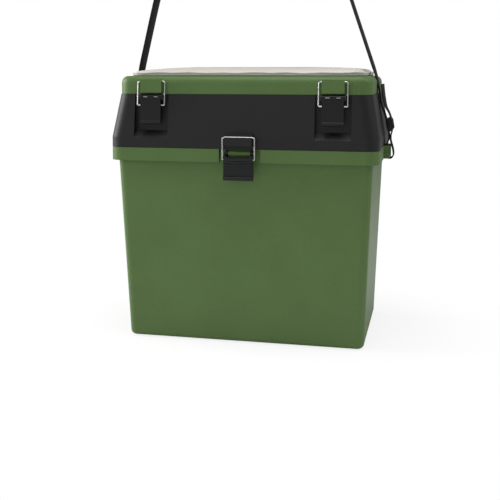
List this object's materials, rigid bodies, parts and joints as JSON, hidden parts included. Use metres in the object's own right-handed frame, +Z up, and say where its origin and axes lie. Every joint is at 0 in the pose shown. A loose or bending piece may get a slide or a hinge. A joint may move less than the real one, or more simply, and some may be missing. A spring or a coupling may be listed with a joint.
{
  "type": "fishing seat box",
  "caption": "Tapered carry box to sit on: deep tub, hinged tray section, hinged padded lid with small boxes inside, draw latches and a carrying strap.",
  "frame": {"origin": "middle of the base, on the surface that the box stands on", "axes": "+X along the box to its right end, +Y to the hinges at the back, +Z up"},
  "size_m": [0.4144, 0.2644, 0.5936],
  "materials": {
    "green_plastic": "moulded polypropylene, fine grain",
    "black_plastic": "moulded polypropylene, fine grain",
    "divider_plastic": "moulded polystyrene",
    "clear_cover": "translucent polypropylene",
    "cushion_vinyl": "padded vinyl cloth, light grey",
    "bail_steel": "plated steel wire",
    "hinge_steel": "steel pin",
    "strap_webbing": "woven polypropylene webbing"
  },
  "bodies": {
    "tub": {"tub": "green_plastic", "tub_hinge_pins": "hinge_steel", "strap_webbing": "strap_webbing", "left_strap_slider": "black_plastic", "right_strap_slider": "black_plastic"},
    "top_section": {"top_section": "black_plastic", "lid_hinge_pins": "hinge_steel", "tray_divider_1": "divider_plastic", "tray_divider_2": "divider_plastic", "tray_divider_3": "divider_plastic", "tray_divider_4": "divider_plastic", "tray_divider_5": "divider_plastic"},
    "seat_lid": {"seat_lid": "green_plastic", "seat_cushion": "cushion_vinyl"},
    "front_left_cover": {"front_left_cover": "clear_cover"},
    "front_right_cover": {"front_right_cover": "clear_cover"},
    "rear_left_cover": {"rear_left_cover": "clear_cover"},
    "rear_right_cover": {"rear_right_cover": "clear_cover"},
    "left_latch_lever": {"left_latch_lever": "black_plastic"},
    "left_latch_bail": {"left_latch_bail": "bail_steel"},
    "right_latch_lever": {"right_latch_lever": "black_plastic"},
    "right_latch_bail": {"right_latch_bail": "bail_steel"},
    "front_latch_lever": {"front_latch_lever": "black_plastic"},
    "front_latch_bail": {"front_latch_bail": "bail_steel"}
  },
  "joints": [
    {"name": "top_hinge", "type": "hinge", "parent": "tub", "child": "top_section", "pos_m": [0, 0.1272, 0.2798], "axis": [-1, 0, 0], "range_deg": [0, 100], "deforming": ["strap_webbing"]},
    {"name": "lid_hinge", "type": "hinge", "parent": "top_section", "child": "seat_lid", "pos_m": [0, 0.1182, 0.3556], "axis": [-1, 0, 0], "range_deg": [0, 100], "deforming": ["strap_webbing"]},
    {"name": "front_left_cover_hinge", "type": "hinge", "parent": "seat_lid", "child": "front_left_cover", "pos_m": [-0.0785, -0.0055, 0.3597], "axis": [1, 0, 0], "range_deg": [0, 110]},
    {"name": "front_right_cover_hinge", "type": "hinge", "parent": "seat_lid", "child": "front_right_cover", "pos_m": [0.0785, -0.0055, 0.3597], "axis": [1, 0, 0], "range_deg": [0, 110]},
    {"name": "rear_left_cover_hinge", "type": "hinge", "parent": "seat_lid", "child": "rear_left_cover", "pos_m": [-0.0785, 0.0055, 0.3597], "axis": [-1, 0, 0], "range_deg": [0, 70]},
    {"name": "rear_right_cover_hinge", "type": "hinge", "parent": "seat_lid", "child": "rear_right_cover", "pos_m": [0.0785, 0.0055, 0.3597], "axis": [-1, 0, 0], "range_deg": [0, 70]},
    {"name": "left_lever_hinge", "type": "hinge", "parent": "top_section", "child": "left_latch_lever", "pos_m": [-0.1295, -0.115, 0.351], "axis": [-1, 0, 0], "range_deg": [0, 100]},
    {"name": "left_bail_hinge", "type": "hinge", "parent": "left_latch_lever", "child": "left_latch_bail", "pos_m": [-0.1295, -0.1172, 0.34], "axis": [1, 0, 0], "range_deg": [0, 270]},
    {"name": "right_lever_hinge", "type": "hinge", "parent": "top_section", "child": "right_latch_lever", "pos_m": [0.1295, -0.115, 0.351], "axis": [-1, 0, 0], "range_deg": [0, 100]},
    {"name": "right_bail_hinge", "type": "hinge", "parent": "right_latch_lever", "child": "right_latch_bail", "pos_m": [0.1295, -0.1172, 0.34], "axis": [1, 0, 0], "range_deg": [0, 270]},
    {"name": "front_lever_hinge", "type": "hinge", "parent": "tub", "child": "front_latch_lever", "pos_m": [0, -0.1205, 0.2737], "axis": [-1, 0, 0], "range_deg": [0, 90]},
    {"name": "front_bail_hinge", "type": "hinge", "parent": "front_latch_lever", "child": "front_latch_bail", "pos_m": [0, -0.1272, 0.2657], "axis": [1, 0, 0], "range_deg": [0, 270]}
  ],
  "couplings": [
    {"joint": "front_left_cover_hinge", "follows": "lid_hinge", "ratio": 1.1},
    {"joint": "front_right_cover_hinge", "follows": "lid_hinge", "ratio": 1.1},
    {"joint": "rear_left_cover_hinge", "follows": "lid_hinge", "ratio": 0.7},
    {"joint": "rear_right_cover_hinge", "follows": "lid_hinge", "ratio": 0.7},
    {"joint": "left_bail_hinge", "follows": "left_lever_hinge", "ratio": 2.7},
    {"joint": "right_bail_hinge", "follows": "right_lever_hinge", "ratio": 2.7},
    {"joint": "front_bail_hinge", "follows": "front_lever_hinge", "ratio": 3}
  ]
}
